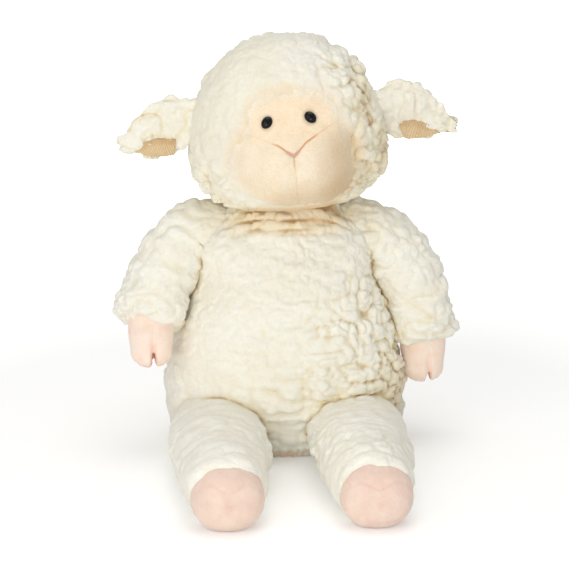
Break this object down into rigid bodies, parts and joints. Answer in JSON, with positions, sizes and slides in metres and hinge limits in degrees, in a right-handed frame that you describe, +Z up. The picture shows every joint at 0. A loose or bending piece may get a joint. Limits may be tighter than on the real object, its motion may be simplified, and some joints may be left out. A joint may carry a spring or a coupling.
{
  "type": "plush sheep",
  "caption": "Sitting stuffed toy sheep in curly fleece with velour hooves and feet, a short-pile face, glossy safety eyes and floppy lined ears, to hold or display.",
  "frame": {"origin": "middle of the flat underside of the seat, on the floor, below the middle of the neck seam", "axes": "+Z up; -Y is where the face, hooves and feet point; the ears stand out along X, and the toy's pieces named left are at -X, as seen from the front"},
  "size_m": [0.2278, 0.2627, 0.2789],
  "materials": {
    "fleece": "curly sherpa fleece, cream",
    "short_pile": "short soft pile, cream",
    "cheek_pile": "short soft pile, beige",
    "velour": "smooth velour, pale pink",
    "ear_lining": "ribbed pile, tan",
    "thread": "satin stitch, pink",
    "eye": "polished black",
    "washer": "plain white",
    "stuffing": "loose polyester fibre, white",
    "bead_bag": "plain cotton, filled with beads"
  },
  "bodies": {
    "torso": {"body_front_panel": "fleece", "body_back_panel_left": "fleece", "body_back_panel_right": "fleece", "body_seat_panel": "fleece", "body_stuffing": "stuffing", "seat_bead_bag": "bead_bag", "tail": "fleece"},
    "head": {"head_crown_left": "fleece", "head_crown_right": "fleece", "face_upper_panel": "short_pile", "cheek_left": "cheek_pile", "cheek_right": "cheek_pile", "nose_stitch": "thread", "head_stuffing": "stuffing", "eye_left": "eye", "eye_right": "eye", "eye_washer_left": "washer", "eye_washer_right": "washer"},
    "ear_left": {"ear_left_leaf": "fleece", "ear_left_lining": "ear_lining"},
    "ear_right": {"ear_right_leaf": "fleece", "ear_right_lining": "ear_lining"},
    "arm_left": {"arm_left_sleeve": "fleece", "hoof_left_front": "velour", "hoof_left_back": "velour", "arm_left_stuffing": "stuffing"},
    "arm_right": {"arm_right_sleeve": "fleece", "hoof_right_front": "velour", "hoof_right_back": "velour", "arm_right_stuffing": "stuffing"},
    "leg_left": {"leg_left_sleeve": "fleece", "foot_left_upper": "velour", "foot_left_sole": "velour", "leg_left_stuffing": "stuffing"},
    "leg_right": {"leg_right_sleeve": "fleece", "foot_right_upper": "velour", "foot_right_sole": "velour", "leg_right_stuffing": "stuffing"}
  },
  "joints": [
    {"name": "head_turn", "type": "hinge", "parent": "torso", "child": "head", "pos_m": [0, 0, 0.168], "axis": [0, 0, 1], "range_deg": [-35, 35], "stiffness_Nm_per_rad": 0.3},
    {"name": "ear_left_flap", "type": "hinge", "parent": "head", "child": "ear_left", "pos_m": [-0.05857, -0.003, 0.22327], "axis": [0, 1, 0], "range_deg": [-20, 30], "stiffness_Nm_per_rad": 0.03},
    {"name": "ear_right_flap", "type": "hinge", "parent": "head", "child": "ear_right", "pos_m": [0.05719, -0.003, 0.23193], "axis": [0, -1, 0], "range_deg": [-20, 30], "stiffness_Nm_per_rad": 0.03},
    {"name": "arm_left_raise", "type": "hinge", "parent": "torso", "child": "arm_left", "pos_m": [-0.048, 0, 0.145], "axis": [-1, 0, 0], "range_deg": [-10, 60], "stiffness_Nm_per_rad": 0.15},
    {"name": "arm_right_raise", "type": "hinge", "parent": "torso", "child": "arm_right", "pos_m": [0.048, 0, 0.145], "axis": [-1, 0, 0], "range_deg": [-10, 60], "stiffness_Nm_per_rad": 0.15},
    {"name": "leg_left_splay", "type": "hinge", "parent": "torso", "child": "leg_left", "pos_m": [-0.0485, -0.026, 0.023], "axis": [0, 0, -1], "range_deg": [-3, 20], "stiffness_Nm_per_rad": 0.3},
    {"name": "leg_right_splay", "type": "hinge", "parent": "torso", "child": "leg_right", "pos_m": [0.0425, -0.026, 0.023], "axis": [0, 0, 1], "range_deg": [-3, 20], "stiffness_Nm_per_rad": 0.3}
  ]
}
